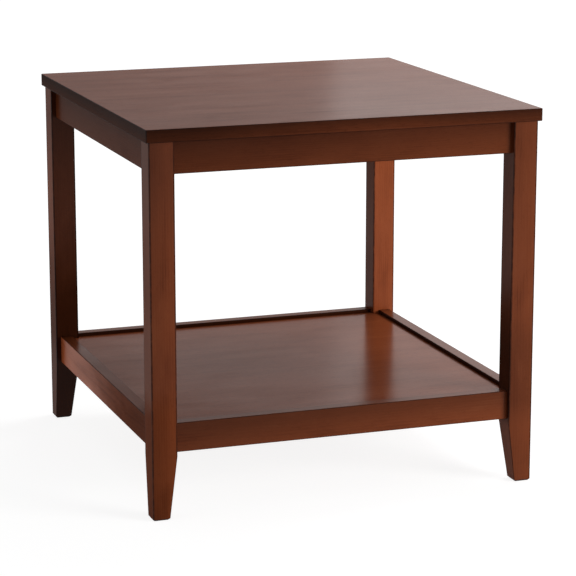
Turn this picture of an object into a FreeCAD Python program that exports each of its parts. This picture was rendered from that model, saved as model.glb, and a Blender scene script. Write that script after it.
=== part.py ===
import FreeCAD, Part
import math
import os
from collections import namedtuple

# End table with a shelf. Millimetres, +Z up, X across the front, the front faces -Y.
# The origin is on the floor, under the middle of the top.

# Overall sizes
TABLE_WIDTH = 610.0
TABLE_DEPTH = 610.0
TABLE_HEIGHT = 575.0

# Top: a board with a mitred solid lipping on each edge
TOP_THICKNESS = 19.0
TOP_OVERHANG = 5.0          # from a leg's outer face to the edge of the top
TOP_CORNER_RADIUS = 2.0
LIPPING_WIDTH = 12.0

# Legs: square, and tapered on the two inner faces below the lower rails
LEG_SIZE = 38.0
FOOT_SIZE = 26.0
TAPER_DROP = 4.0            # from the underside of a lower rail to the start of the taper
FOOT_CHAMFER = 2.5
ARRIS_RADIUS = 1.2          # eased long edges of every visible piece

# Aprons under the top
APRON_HEIGHT = 48.0
APRON_THICKNESS = 19.0
APRON_SETBACK = 8.0         # from a leg's outer face

# Lower rails round the shelf
RAIL_TOP_LEVEL = 143.0
RAIL_HEIGHT = 44.0
RAIL_THICKNESS = 19.0
RAIL_SETBACK = 8.0

# Shelf and the cleats that carry it
SHELF_THICKNESS = 15.0
SHELF_RECESS = 5.0          # the rails stand this much above the shelf
SHELF_EDGE_RADIUS = 0.8
CLEAT_THICKNESS = 15.0
CLEAT_HEIGHT = 20.0
CLEAT_END_SPACE = 6.0       # from the end of a cleat to the face of the next one

# Corner blocks behind the aprons
BLOCK_SIDE = 60.0           # along each apron, measured from where the aprons would meet
BLOCK_HEIGHT = 36.0

# Dowels, two in each end of each apron and rail
DOWEL_DIAMETER = 8.0
DOWEL_LENGTH = 26.0
DOWEL_SPACING = 20.0        # in the aprons
RAIL_DOWEL_MARGIN = 7.5     # from an edge of a lower rail to the middle of its nearest dowel
DOWEL_CHAMFER = 0.8
DOWEL_LAND = 1.0            # wood between crossing dowels, seen from the side
DOWEL_CORNER_SPACE = 7.5    # in a leg, from the end of a dowel to the middle line of the crossing ones

# Hanger bolt, washer and nut at each leg
BOLT_DIAMETER = 6.0
BOLT_IN_LEG = 25.0
BOLT_TIP_LENGTH = 6.0
BOLT_TIP_DIAMETER = 1.5
BOLT_PAST_NUT = 2.0
WASHER_DIAMETER = 14.0
WASHER_THICKNESS = 1.6
NUT_ACROSS_FLATS = 10.0
NUT_HEIGHT = 5.0

# Countersunk wood screws
SCREW_DIAMETER = 4.0
SCREW_HEAD_DIAMETER = 8.0
SCREW_HEAD_HEIGHT = 2.2
SCREW_SLOT_WIDTH = 1.0
SCREW_SLOT_DEPTH = 0.8
SCREW_TIP_LENGTH = 3.0
BLOCK_SCREW_BITE = 12.0     # length of each kind of screw in the piece that it enters
BLOCK_SCREW_INSET = 12.0    # from the thin end of a corner block
BLOCK_SCREW_SEAT = 9.0      # wood left under the head
TOP_SCREW_BITE = 13.0
TOP_SCREW_INSET = 11.0      # in from the long face of the corner block
TOP_SCREW_SPACING = 34.0
CLEAT_SCREW_BITE = 13.0
CLEAT_SCREW_INSET = 40.0    # from the end of a cleat
CLEAT_SCREW_COUNT = 3
SHELF_SCREW_BITE = 9.0
SHELF_SCREW_INSET = 110.0
SHELF_SCREW_COUNT = 2

# Clearances
SHELF_GAP = 0.5             # round the shelf, to the rails and the legs
GLUE_GAP = 0.05             # round a dowel
HOLE_GAP = 0.1              # round a bolt or a screw
HOLE_END_GAP = 0.5          # past the end of a dowel, bolt or screw
BLOCK_LEG_GAP = 1.5         # a corner block pulls on the leg's arris, so it stands off the leg
BEYOND = 50.0               # how far a cutter runs past what it cuts

# Levels and lines that the pieces share
top_underside = TABLE_HEIGHT - TOP_THICKNESS
apron_bottom = top_underside - APRON_HEIGHT
rail_bottom = RAIL_TOP_LEVEL - RAIL_HEIGHT
taper_top = rail_bottom - TAPER_DROP
shelf_top = RAIL_TOP_LEVEL - SHELF_RECESS
shelf_underside = shelf_top - SHELF_THICKNESS
half_frame = (TABLE_WIDTH / 2 - TOP_OVERHANG, TABLE_DEPTH / 2 - TOP_OVERHANG)
half_opening = tuple(half - LEG_SIZE for half in half_frame)
apron_inside = tuple(half - APRON_SETBACK - APRON_THICKNESS for half in half_frame)
rail_inside = tuple(half - RAIL_SETBACK - RAIL_THICKNESS for half in half_frame)
cleat_inside = tuple(inside - CLEAT_THICKNESS for inside in rail_inside)
cleat_reach = tuple(inside - CLEAT_END_SPACE for inside in cleat_inside)
block_bottom = top_underside - BLOCK_HEIGHT
bolt_level = top_underside - APRON_HEIGHT / 2

dowel_stagger = (DOWEL_DIAMETER + DOWEL_LAND) / 2
rail_dowel_spacing = RAIL_HEIGHT - 2 * (RAIL_DOWEL_MARGIN + dowel_stagger)

# A board between two legs, on each side of the table
Member = namedtuple("Member", "setback thickness bottom top dowel_spacing")
APRON = Member(APRON_SETBACK, APRON_THICKNESS, apron_bottom, top_underside, DOWEL_SPACING)
LOWER_RAIL = Member(RAIL_SETBACK, RAIL_THICKNESS, rail_bottom, RAIL_TOP_LEVEL, rail_dowel_spacing)

UP = FreeCAD.Vector(0, 0, 1)
SIDES = {"front": (0, -1), "back": (0, 1), "left": (-1, 0), "right": (1, 0)}
CORNERS = {
    "front_left": (-1, -1),
    "front_right": (1, -1),
    "back_left": (-1, 1),
    "back_right": (1, 1),
}


def point(x, y, z):
    return FreeCAD.Vector(x, y, z)


def box(x0, x1, y0, y1, z0, z1):
    """A box between two corners, given in any order."""
    low = point(min(x0, x1), min(y0, y1), min(z0, z1))
    return Part.makeBox(abs(x1 - x0), abs(y1 - y0), abs(z1 - z0), low)


def prism(corners, direction):
    """A closed outline of points, extruded along a vector."""
    outline = Part.makePolygon(list(corners) + [corners[0]])
    return Part.Face(outline).extrude(direction)


def rod(start, direction, length, radius):
    return Part.makeCylinder(radius, length, start, direction)


def long_edges(shape, axis, flat_sides=()):
    """Straight edges that run mostly along an axis, apart from those that lie in a plane of flat_sides,
    which are (axis number, position) pairs."""
    found = []
    for edge in shape.Edges:
        first, last = edge.Vertexes[0].Point, edge.Vertexes[-1].Point
        run = last - first
        if run.Length < 1e-6 or abs(run[axis]) < 0.9 * run.Length:
            continue
        on_flat_side = any(
            abs(first[number] - place) < 1e-6 and abs(last[number] - place) < 1e-6
            for number, place in flat_sides
        )
        if not on_flat_side:
            found.append(edge)
    return found


def edges_at_level(shape, level):
    return [edge for edge in shape.Edges if all(abs(end.Point.z - level) < 1e-6 for end in edge.Vertexes)]


def ease(shape, radius, axis, flat_sides=()):
    return shape.makeFillet(radius, long_edges(shape, axis, flat_sides))


def spread(first, last, count):
    """count places, evenly spaced from first to last."""
    step = (last - first) / (count - 1)
    return [first + step * number for number in range(count)]


def one_solid(shape):
    """The single solid in the result of a cut, so that each piece is written as a plain solid."""
    return shape.Solids[0]


# Fasteners

def dowel(middle, direction):
    """A round dowel with chamfered ends."""
    start = middle - direction * (DOWEL_LENGTH / 2)
    body = rod(start, direction, DOWEL_LENGTH, DOWEL_DIAMETER / 2)
    ends = [edge for edge in body.Edges if not edge.Curve.TypeId.endswith("Line")]
    return body.makeChamfer(DOWEL_CHAMFER, ends)


def dowel_hole(middle, direction):
    reach = DOWEL_LENGTH / 2 + HOLE_END_GAP
    return rod(middle - direction * reach, direction, 2 * reach, DOWEL_DIAMETER / 2 + GLUE_GAP)


def screw(head_face, direction, length):
    """A countersunk screw: the flat of its slotted head lies at head_face."""
    shank_radius = SCREW_DIAMETER / 2
    head_radius = SCREW_HEAD_DIAMETER / 2
    across = direction.cross(UP) if abs(direction.z) < 0.9 else point(1, 0, 0)
    along = length - SCREW_TIP_LENGTH
    profile = [
        head_face,
        head_face + across * head_radius,
        head_face + across * shank_radius + direction * SCREW_HEAD_HEIGHT,
        head_face + across * shank_radius + direction * along,
        head_face + direction * length,
    ]
    outline = Part.Face(Part.makePolygon(profile + [profile[0]]))
    body = outline.revolve(head_face, direction, 360)
    side = direction.cross(across)
    slot_corner = head_face - across * SCREW_HEAD_DIAMETER - side * (SCREW_SLOT_WIDTH / 2)
    slot = prism(
        [
            slot_corner,
            slot_corner + across * 2 * SCREW_HEAD_DIAMETER,
            slot_corner + across * 2 * SCREW_HEAD_DIAMETER + side * SCREW_SLOT_WIDTH,
            slot_corner + side * SCREW_SLOT_WIDTH,
        ],
        direction * SCREW_SLOT_DEPTH,
    )
    return one_solid(body.cut(slot))


def screw_hole(head_face, direction, length):
    """The countersunk hole for a screw, with a recess over the head for a slanted face."""
    shank_radius = SCREW_DIAMETER / 2 + HOLE_GAP
    head_radius = SCREW_HEAD_DIAMETER / 2 + HOLE_GAP
    shank = rod(head_face, direction, length + HOLE_END_GAP, shank_radius)
    seat = Part.makeCone(head_radius, shank_radius, SCREW_HEAD_HEIGHT, head_face, direction)
    recess = rod(head_face, direction * -1, BEYOND, head_radius)
    return shank.fuse([seat, recess])


# Places of the fasteners: lists of (point, direction) pairs, and each screw's length

def member_dowels(member, side):
    """The dowels at both ends of one apron or rail. They stop short of the ones that enter the leg from
    its other side, and are staggered in height with them."""
    x_out, y_out = SIDES[side]
    middle_level = (member.bottom + member.top) / 2 + dowel_stagger * (-1 if y_out else 1)
    half_spacing = member.dowel_spacing / 2
    inset = member.setback + member.thickness / 2
    length_in_leg = LEG_SIZE - inset - DOWEL_CORNER_SPACE
    middle_x, middle_y = [half + length_in_leg - DOWEL_LENGTH / 2 for half in half_opening]
    places = []
    for end in (-1, 1):
        for level in (middle_level - half_spacing, middle_level + half_spacing):
            if y_out:
                line = y_out * (half_frame[1] - inset)
                places.append((point(end * middle_x, line, level), point(1, 0, 0)))
            else:
                line = x_out * (half_frame[0] - inset)
                places.append((point(line, end * middle_y, level), point(0, 1, 0)))
    return places


def corner_point(corner, x_in, y_in, z):
    """A point measured inward from the place where the inner faces of two aprons would meet."""
    x_sign, y_sign = CORNERS[corner]
    return point(x_sign * (apron_inside[0] - x_in), y_sign * (apron_inside[1] - y_in), z)


def bolt_line(corner):
    """Where the hanger bolt leaves the leg's inner arris, and its direction into the leg."""
    x_sign, y_sign = CORNERS[corner]
    arris = point(x_sign * half_opening[0], y_sign * half_opening[1], bolt_level)
    return arris, point(x_sign, y_sign, 0).normalize()


def bolt_through_block(corner):
    """The length of the hanger bolt from the leg's arris to the long face of the corner block."""
    arris, outward = bolt_line(corner)
    long_face = corner_point(corner, BLOCK_SIDE / 2, BLOCK_SIDE / 2, bolt_level)
    return (arris - long_face).dot(outward)


def block_screw_places(corner):
    x_sign, y_sign = CORNERS[corner]
    level = block_bottom + BLOCK_HEIGHT / 2
    end = BLOCK_SIDE - BLOCK_SCREW_INSET
    return [
        (corner_point(corner, end, BLOCK_SCREW_SEAT, level), point(0, y_sign, 0)),
        (corner_point(corner, BLOCK_SCREW_SEAT, end, level), point(x_sign, 0, 0)),
    ]


def top_screw_places(corner):
    """Two screws up into the top, either side of the hanger bolt."""
    from_long_face = BLOCK_SIDE / 2 - TOP_SCREW_INSET / math.sqrt(2)
    sideways = TOP_SCREW_SPACING / 2 / math.sqrt(2)
    return [
        (corner_point(corner, from_long_face + way, from_long_face - way, block_bottom), UP)
        for way in (-sideways, sideways)
    ]


def cleat_line(side, inward, level, inset, count):
    """Points along a cleat, on a line that lies inward of the lower rail's inner face."""
    x_out, y_out = SIDES[side]
    if y_out:
        line = y_out * (rail_inside[1] - inward)
        reach = cleat_reach[0] - inset
        return [point(along, line, level) for along in spread(-reach, reach, count)]
    line = x_out * (rail_inside[0] - inward)
    reach = cleat_reach[1] - inset
    return [point(line, along, level) for along in spread(-reach, reach, count)]


def cleat_screw_places(side):
    outward = point(*SIDES[side], 0)
    level = shelf_underside - CLEAT_HEIGHT / 2
    points = cleat_line(side, CLEAT_THICKNESS, level, CLEAT_SCREW_INSET, CLEAT_SCREW_COUNT)
    return [(place, outward) for place in points]


def shelf_screw_places(side):
    level = shelf_underside - CLEAT_HEIGHT
    points = cleat_line(side, CLEAT_THICKNESS / 2, level, SHELF_SCREW_INSET, SHELF_SCREW_COUNT)
    return [(place, UP) for place in points]


block_screw_length = BLOCK_SCREW_SEAT + BLOCK_SCREW_BITE
top_screw_length = BLOCK_HEIGHT + TOP_SCREW_BITE
cleat_screw_length = CLEAT_THICKNESS + CLEAT_SCREW_BITE
shelf_screw_length = CLEAT_HEIGHT + SHELF_SCREW_BITE
apron_dowels = [place for side in SIDES for place in member_dowels(APRON, side)]
rail_dowels = [place for side in SIDES for place in member_dowels(LOWER_RAIL, side)]
block_screws = [place for corner in CORNERS for place in block_screw_places(corner)]
top_screws = [place for corner in CORNERS for place in top_screw_places(corner)]


# Wooden pieces

def top_blank():
    """The whole top with its rounded corners and eased edges, before it is divided."""
    half_width, half_depth = TABLE_WIDTH / 2, TABLE_DEPTH / 2
    board = box(-half_width, half_width, -half_depth, half_depth, top_underside, TABLE_HEIGHT)
    board = ease(board, TOP_CORNER_RADIUS, 2)
    rims = edges_at_level(board, TABLE_HEIGHT) + edges_at_level(board, top_underside)
    return board.makeFillet(ARRIS_RADIUS, rims)


def top_core():
    half_width = TABLE_WIDTH / 2 - LIPPING_WIDTH
    half_depth = TABLE_DEPTH / 2 - LIPPING_WIDTH
    core = box(-half_width, half_width, -half_depth, half_depth, top_underside, TABLE_HEIGHT)
    return one_solid(core.cut([screw_hole(*place, top_screw_length) for place in top_screws]))


def top_lipping(side):
    """One edge strip, mitred at both ends: what lies outside the core, in this side's sector."""
    x_out, y_out = SIDES[side]
    core_x = TABLE_WIDTH / 2 - LIPPING_WIDTH
    core_y = TABLE_DEPTH / 2 - LIPPING_WIDTH
    reach = LIPPING_WIDTH + BEYOND
    corners = []
    for end, out in ((-1, 0), (1, 0), (1, reach), (-1, reach)):
        if y_out:
            corners.append(point(end * (core_x + out), y_out * (core_y + out), top_underside))
        else:
            corners.append(point(x_out * (core_x + out), end * (core_y + out), top_underside))
    return one_solid(top_blank().common(prism(corners, UP * TOP_THICKNESS)))


def leg_outline(corner, level, inset=0.0):
    """The outline of a leg at one level: a square with rounded corners, which is drawn in by the inset.
    Below taper_top it gets smaller towards the floor, and its two outer sides stay where they are."""
    x_sign, y_sign = CORNERS[corner]
    size = FOOT_SIZE + (LEG_SIZE - FOOT_SIZE) * min(level / taper_top, 1.0)
    middle = point(x_sign * (half_frame[0] - size / 2), y_sign * (half_frame[1] - size / 2), level)
    side = size / 2 - inset
    straight = side - ARRIS_RADIUS
    diagonal = straight + ARRIS_RADIUS * math.sqrt(0.5)
    places = [(-straight, -side), (straight, -side), (diagonal, -diagonal), (side, -straight)]
    edges = []
    for quarter in range(4):
        turn = FreeCAD.Rotation(UP, 90 * quarter)
        start, end, arc_middle, arc_end = [middle + turn.multVec(point(x, y, 0)) for x, y in places]
        edges += [Part.makeLine(start, end), Part.Arc(end, arc_middle, arc_end).toShape()]
    return Part.Wire(edges)


def leg_blank(corner):
    """A square leg whose two inner faces taper below the lower rails, with a chamfered foot."""
    outlines = [
        leg_outline(corner, 0, FOOT_CHAMFER),
        leg_outline(corner, FOOT_CHAMFER),
        leg_outline(corner, taper_top),
        leg_outline(corner, top_underside),
    ]
    return Part.makeLoft(outlines, True, True)


def near(places, corner):
    """The places in one corner's quarter of the table."""
    x_sign, y_sign = CORNERS[corner]
    return [place for place in places if place[0].x * x_sign > 0 and place[0].y * y_sign > 0]


def leg(corner):
    arris, outward = bolt_line(corner)
    hole_depth = BOLT_IN_LEG + HOLE_END_GAP
    bolt_hole = rod(arris - outward * BEYOND, outward, BEYOND + hole_depth, BOLT_DIAMETER / 2 + HOLE_GAP)
    holes = [dowel_hole(*place) for place in near(apron_dowels + rail_dowels, corner)]
    return one_solid(leg_blank(corner).cut(holes + [bolt_hole]))


def member_board(member, side, flat_sides=()):
    """A board between two legs, its outer face set back from theirs. Its long edges are eased, apart
    from those in flat_sides, and its ends stay sharp."""
    x_out, y_out = SIDES[side]
    if y_out:
        face = y_out * (half_frame[1] - member.setback)
        inside = face - y_out * member.thickness
        board = box(-half_opening[0], half_opening[0], face, inside, member.bottom, member.top)
        return ease(board, ARRIS_RADIUS, 0, flat_sides)
    face = x_out * (half_frame[0] - member.setback)
    inside = face - x_out * member.thickness
    board = box(face, inside, -half_opening[1], half_opening[1], member.bottom, member.top)
    return ease(board, ARRIS_RADIUS, 1, flat_sides)


def apron(side):
    """A board under the top. Its upper edges meet the top, so they aren't eased."""
    board = member_board(APRON, side, flat_sides=((2, APRON.top),))
    outward = point(*SIDES[side], 0)
    holes = [dowel_hole(*place) for place in member_dowels(APRON, side)]
    holes += [screw_hole(*place, block_screw_length) for place in block_screws if place[1].dot(outward) > 0.5]
    return one_solid(board.cut(holes))


def lower_rail(side):
    """A board round the shelf, with all its long edges eased."""
    board = member_board(LOWER_RAIL, side)
    holes = [dowel_hole(*place) for place in member_dowels(LOWER_RAIL, side)]
    holes += [screw_hole(*place, cleat_screw_length) for place in cleat_screw_places(side)]
    return one_solid(board.cut(holes))


def shelf_panel():
    """A board that drops in between the lower rails, with a notch for each leg."""
    half_width, half_depth = (inside - SHELF_GAP for inside in rail_inside)
    board = box(-half_width, half_width, -half_depth, half_depth, shelf_underside, shelf_top)
    notches = []
    for x_sign, y_sign in CORNERS.values():
        notch_x = x_sign * (half_opening[0] - SHELF_GAP)
        notch_y = y_sign * (half_opening[1] - SHELF_GAP)
        notches.append(
            box(
                notch_x, notch_x + x_sign * LEG_SIZE, notch_y, notch_y + y_sign * LEG_SIZE,
                shelf_underside, shelf_top,
            )
        )
    board = one_solid(board.cut(notches))
    board = board.makeFillet(SHELF_EDGE_RADIUS, edges_at_level(board, shelf_top))
    holes = [screw_hole(*place, shelf_screw_length) for side in SIDES for place in shelf_screw_places(side)]
    return one_solid(board.cut(holes))


def shelf_cleat(side):
    """A strip on the inner face of a lower rail, which the shelf rests on."""
    x_out, y_out = SIDES[side]
    bottom = shelf_underside - CLEAT_HEIGHT
    if y_out:
        reach = cleat_reach[0]
        strip = box(-reach, reach, y_out * rail_inside[1], y_out * cleat_inside[1], bottom, shelf_underside)
    else:
        reach = cleat_reach[1]
        strip = box(x_out * rail_inside[0], x_out * cleat_inside[0], -reach, reach, bottom, shelf_underside)
    holes = [screw_hole(*place, cleat_screw_length) for place in cleat_screw_places(side)]
    holes += [screw_hole(*place, shelf_screw_length) for place in shelf_screw_places(side)]
    return one_solid(strip.cut(holes))


def corner_block(corner):
    """A triangular block glued to two aprons, notched to clear the leg's inner arris."""
    x_sign, y_sign = CORNERS[corner]
    blank = prism(
        [
            corner_point(corner, 0, 0, block_bottom),
            corner_point(corner, BLOCK_SIDE, 0, block_bottom),
            corner_point(corner, 0, BLOCK_SIDE, block_bottom),
        ],
        UP * BLOCK_HEIGHT,
    )
    notch_x = x_sign * (half_opening[0] - BLOCK_LEG_GAP)
    notch_y = y_sign * (half_opening[1] - BLOCK_LEG_GAP)
    notch = box(
        notch_x, notch_x + x_sign * LEG_SIZE, notch_y, notch_y + y_sign * LEG_SIZE,
        block_bottom, top_underside,
    )
    arris, outward = bolt_line(corner)
    bolt_hole = rod(
        arris - outward * (bolt_through_block(corner) + BEYOND), outward,
        bolt_through_block(corner) + 2 * BEYOND, BOLT_DIAMETER / 2 + HOLE_GAP,
    )
    holes = [screw_hole(*place, block_screw_length) for place in block_screw_places(corner)]
    holes += [screw_hole(*place, top_screw_length) for place in top_screw_places(corner)]
    return one_solid(blank.cut([notch, bolt_hole] + holes))


# Hanger bolt, washer and nut

def hanger_bolt(corner):
    arris, outward = bolt_line(corner)
    inward_length = bolt_through_block(corner) + WASHER_THICKNESS + NUT_HEIGHT + BOLT_PAST_NUT
    straight_in_leg = BOLT_IN_LEG - BOLT_TIP_LENGTH
    radius = BOLT_DIAMETER / 2
    shank = rod(arris - outward * inward_length, outward, inward_length + straight_in_leg, radius)
    tip_start = arris + outward * straight_in_leg
    tip = Part.makeCone(radius, BOLT_TIP_DIAMETER / 2, BOLT_TIP_LENGTH, tip_start, outward)
    return one_solid(shank.fuse(tip))


def bolt_washer(corner):
    arris, outward = bolt_line(corner)
    start = arris - outward * (bolt_through_block(corner) + WASHER_THICKNESS)
    disc = rod(start, outward, WASHER_THICKNESS, WASHER_DIAMETER / 2)
    return one_solid(disc.cut(rod(start, outward, WASHER_THICKNESS, BOLT_DIAMETER / 2 + HOLE_GAP)))


def bolt_nut(corner):
    arris, outward = bolt_line(corner)
    start = arris - outward * (bolt_through_block(corner) + WASHER_THICKNESS + NUT_HEIGHT)
    corner_radius = NUT_ACROSS_FLATS / math.sqrt(3)
    across, upward = outward.cross(UP) * corner_radius, UP * corner_radius
    turns = [math.radians(60 * number) for number in range(6)]
    corners = [start + across * math.cos(turn) + upward * math.sin(turn) for turn in turns]
    body = prism(corners, outward * NUT_HEIGHT)
    return one_solid(body.cut(rod(start, outward, NUT_HEIGHT, BOLT_DIAMETER / 2 + HOLE_GAP)))


def nodes():
    """Every node of the table, by name."""
    table = {"top_core": top_core(), "shelf_panel": shelf_panel()}
    for side in SIDES:
        table["top_lipping_" + side] = top_lipping(side)
        table["apron_" + side] = apron(side)
        table["lower_rail_" + side] = lower_rail(side)
        table["shelf_cleat_" + side] = shelf_cleat(side)
    for corner in CORNERS:
        table["leg_" + corner] = leg(corner)
        table["corner_block_" + corner] = corner_block(corner)
    table["apron_dowels"] = Part.makeCompound([dowel(*place) for place in apron_dowels])
    table["rail_dowels"] = Part.makeCompound([dowel(*place) for place in rail_dowels])
    table["hanger_bolts"] = Part.makeCompound([hanger_bolt(corner) for corner in CORNERS])
    table["hanger_bolt_washers"] = Part.makeCompound([bolt_washer(corner) for corner in CORNERS])
    table["hanger_bolt_nuts"] = Part.makeCompound([bolt_nut(corner) for corner in CORNERS])
    cleat_screws = [place for side in SIDES for place in cleat_screw_places(side)]
    shelf_screws = [place for side in SIDES for place in shelf_screw_places(side)]
    for name, places, length in (
        ("corner_block_screws", block_screws, block_screw_length),
        ("top_screws", top_screws, top_screw_length),
        ("cleat_screws", cleat_screws, cleat_screw_length),
        ("shelf_screws", shelf_screws, shelf_screw_length),
    ):
        table[name] = Part.makeCompound([screw(*place, length) for place in places])
    return table


os.makedirs("parts", exist_ok=True)
for name, shape in nodes().items():
    shape.exportStep("parts/" + name + ".step")
    print(name, len(shape.Solids), round(shape.Volume), shape.isValid())
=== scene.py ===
import math
from types import SimpleNamespace

import bmesh
import bpy
import numpy as np
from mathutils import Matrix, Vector


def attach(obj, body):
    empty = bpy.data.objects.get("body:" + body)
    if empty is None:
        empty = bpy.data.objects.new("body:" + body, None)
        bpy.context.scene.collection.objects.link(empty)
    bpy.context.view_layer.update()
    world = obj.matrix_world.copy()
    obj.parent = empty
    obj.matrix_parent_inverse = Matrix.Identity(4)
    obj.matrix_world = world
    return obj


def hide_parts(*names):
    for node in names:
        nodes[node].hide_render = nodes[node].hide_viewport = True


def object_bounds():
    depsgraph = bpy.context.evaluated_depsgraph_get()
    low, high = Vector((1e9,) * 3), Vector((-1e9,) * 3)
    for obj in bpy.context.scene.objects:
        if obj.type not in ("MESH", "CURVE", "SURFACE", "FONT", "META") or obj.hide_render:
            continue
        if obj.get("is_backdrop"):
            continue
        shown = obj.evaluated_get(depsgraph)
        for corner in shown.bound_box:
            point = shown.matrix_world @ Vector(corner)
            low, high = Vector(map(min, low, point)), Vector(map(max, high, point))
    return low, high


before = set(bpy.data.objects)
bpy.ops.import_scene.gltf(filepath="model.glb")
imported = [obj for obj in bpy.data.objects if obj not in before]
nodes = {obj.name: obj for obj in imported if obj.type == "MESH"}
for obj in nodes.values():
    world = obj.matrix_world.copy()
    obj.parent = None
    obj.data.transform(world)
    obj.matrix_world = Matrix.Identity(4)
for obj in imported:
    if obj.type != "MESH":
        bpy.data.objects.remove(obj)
cad_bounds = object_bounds()


# Legs. Four square posts of a stained hardwood with the grain running up them, tapered on the two
# inner faces below the lower rails. The arrises are eased by hand. The wood has a brown-red wiping
# stain under a semi-gloss lacquer. The stain is uneven. The arrises and the top of each leg are
# painted darker, as shade, and each leg has more painted light and shade along it and on its faces.

MM = 0.001
X, Y, Z = range(3)
UPRIGHT = (0, math.pi / 2, 0)
STAIN = ((0.100, 0.022, 0.0070), (0.155, 0.037, 0.0125), (0.215, 0.058, 0.0210))
# The dark colour on the arrises of stained wood, which is painted shade
ARRIS_SHADE = (0.040, 0.009, 0.0030)


class Socket:
    """An output of a node. An expression on it adds the Math nodes that work it out."""

    def __init__(self, tree, output):
        self.tree = tree
        self.output = output

    def math(self, operation, *others, clamp=False):
        settings = {"operation": operation, "use_clamp": clamp}
        return self.tree.node("ShaderNodeMath", settings, dict(enumerate((self, *others))))

    def __add__(self, other):
        return self.math("ADD", other)

    def __sub__(self, other):
        return self.math("SUBTRACT", other)

    def __rsub__(self, other):
        return self.math("MULTIPLY_ADD", -1.0, other)

    def __mul__(self, other):
        return self.math("MULTIPLY", other)

    def __truediv__(self, other):
        return self.math("DIVIDE", other)

    def __rtruediv__(self, other):
        return self.math("POWER", -1.0) * other

    def __abs__(self):
        return self.math("ABSOLUTE")

    __radd__ = __add__
    __rmul__ = __mul__


class Tree:
    """A node tree, with one method that adds a node of any type."""

    def __init__(self, made):
        self.made = made

    def node(self, kind, settings=(), inputs=(), output=0):
        added = self.made.nodes.new(kind)
        for name, value in dict(settings).items():
            setattr(added, name, value)
        for key, value in dict(inputs).items():
            if isinstance(value, Socket):
                self.made.links.new(value.output, added.inputs[key])
            else:
                added.inputs[key].default_value = value
        return Socket(self, added.outputs[output]) if added.outputs else None

    def turned(self, place, rotation=(0, 0, 0), scale=(1, 1, 1), location=(0, 0, 0)):
        inputs = {"Vector": place, "Rotation": rotation, "Scale": scale, "Location": location}
        return self.node("ShaderNodeMapping", (), inputs)

    def noise(self, place, scale, detail=2.0, roughness=0.5, distortion=0.0):
        inputs = {
            "Vector": place, "Scale": scale, "Detail": detail, "Roughness": roughness,
            "Distortion": distortion,
        }
        return self.node("ShaderNodeTexNoise", (), inputs)

    def drawn_out(self, board, along, across, detail, roughness=0.5, distortion=0.0):
        """Noise drawn out along the grain, so fine to the metre along it and across it."""
        stretched = self.turned(board, scale=(along, across, across))
        return self.noise(stretched, 1.0, detail, roughness, distortion)

    def step(self, value, start, end, low=0.0, high=1.0):
        """A smooth step from low, where the value is at start, to high, where it is at end."""
        inputs = {"Value": value, "From Min": start, "From Max": end, "To Min": low, "To Max": high}
        return self.node("ShaderNodeMapRange", {"interpolation_type": "SMOOTHSTEP"}, inputs)

    def blend(self, factor, first, second, way="MIX"):
        """Mixes two colours."""
        settings = {"data_type": "RGBA", "blend_type": way}
        return self.node("ShaderNodeMix", settings, {0: factor, 6: first, 7: second}, output=2)

    def parts(self, vector):
        """The X, Y and Z of a vector."""
        split = self.node("ShaderNodeSeparateXYZ", (), {0: vector}).output.node
        return [Socket(self, end) for end in split.outputs]


def colour(rgb, share=1.0):
    return (*[channel * share for channel in rgb], 1.0)


def new_material(name):
    material = bpy.data.materials.new(name)
    material.use_nodes = True
    material.node_tree.nodes.clear()
    return material, Tree(material.node_tree)


def finish_surface(tree, shader):
    tree.node("ShaderNodeOutputMaterial", (), {"Surface": shader})


def give(material, *names):
    """Puts a material on CAD nodes, in place of the plain ones that they came with."""
    for name in names:
        for slot in nodes[name].material_slots:
            slot.material = material


WOOD = {
    # The stain's dark, middle and light colours, its colour on an arris, which on stained wood is
    # painted shade, and its depth
    "shades": STAIN, "edge": ARRIS_SHADE, "depth": 1.0,
    # Where the pith lies, how wide a growth ring is, and by how many rings they wander
    "pith": (0.0, 0.09, 0.03), "ring": 3.2 * MM, "wavy": 7.0,
    # The grain of a veneer on the upper face
    "veneer": None,
    # How strong the marks of the wood are, and the patches of the stain
    "figure": 0.12, "fibre": 0.22, "pores": 0.40, "mottle": 0.85,
    # The lacquer, and how rough the wood is under it
    "coat": 0.12, "coat_rough": 0.25, "edge_coat": 0.14, "rough": 0.46,
    # The share of colour or lacquer that the sides and the underside get
    "side_depth": 1.0, "side_coat": 1.0, "under_coat": 1.0,
    # The share of colour on the inner faces, which paints shade below 1 and light above it: in X at
    # the foot, low and high on a leg, and in Y
    "inner_x": (1.0, 1.0, 1.0), "inner_y": 1.0,
    # Fades of the colour, which paint light and shade, and of the lacquer, which paint a stronger
    # or weaker sheen. Each is an axis, where it starts and ends on that axis, and the share that is
    # left at each
    "fades": (), "coat_fades": (), "side_coat_fades": (),
    # How far a post's middle line stands from the table's
    "post": None,
    # Where an upper face starts to take painted shade and a duller sheen beside a rail or leg, and
    # where they are strongest
    "tucked": None,
}

# How far a face turns up, down or across the grain where its finish changes
FACES_UP, FACES_DOWN, ACROSS_GRAIN = (0.60, 0.80), (-0.8, -0.6), (0.80, 0.97)

# An arris turns less than this in any one direction, and on a post the arris's colour and
# lacquer also start this far from the middle line
ON_AN_ARRIS = (0.995, 0.95)
ARRIS_STRIP = (16.1 * MM, 17.5 * MM)

# A face looks inwards where its place times its direction is below zero
INNER_SIDE = (-0.10, -0.20)

# The heights over which a leg's foot, its low part and its high part blend
FOOT_TOP = (0.085, 0.105)
LEG_LOW_TO_HIGH = (0.20, 0.36)

FADE_UNEVENNESS = 0.5
PORE_DEPTH, END_GRAIN_DEPTH, END_GRAIN_SHARE = 0.35, 0.5, 0.55
# How much colour and lacquer the painted corner shade takes away
RIM_COLOUR_LOSS, RIM_COAT_LOSS = 0.75, 0.85

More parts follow.
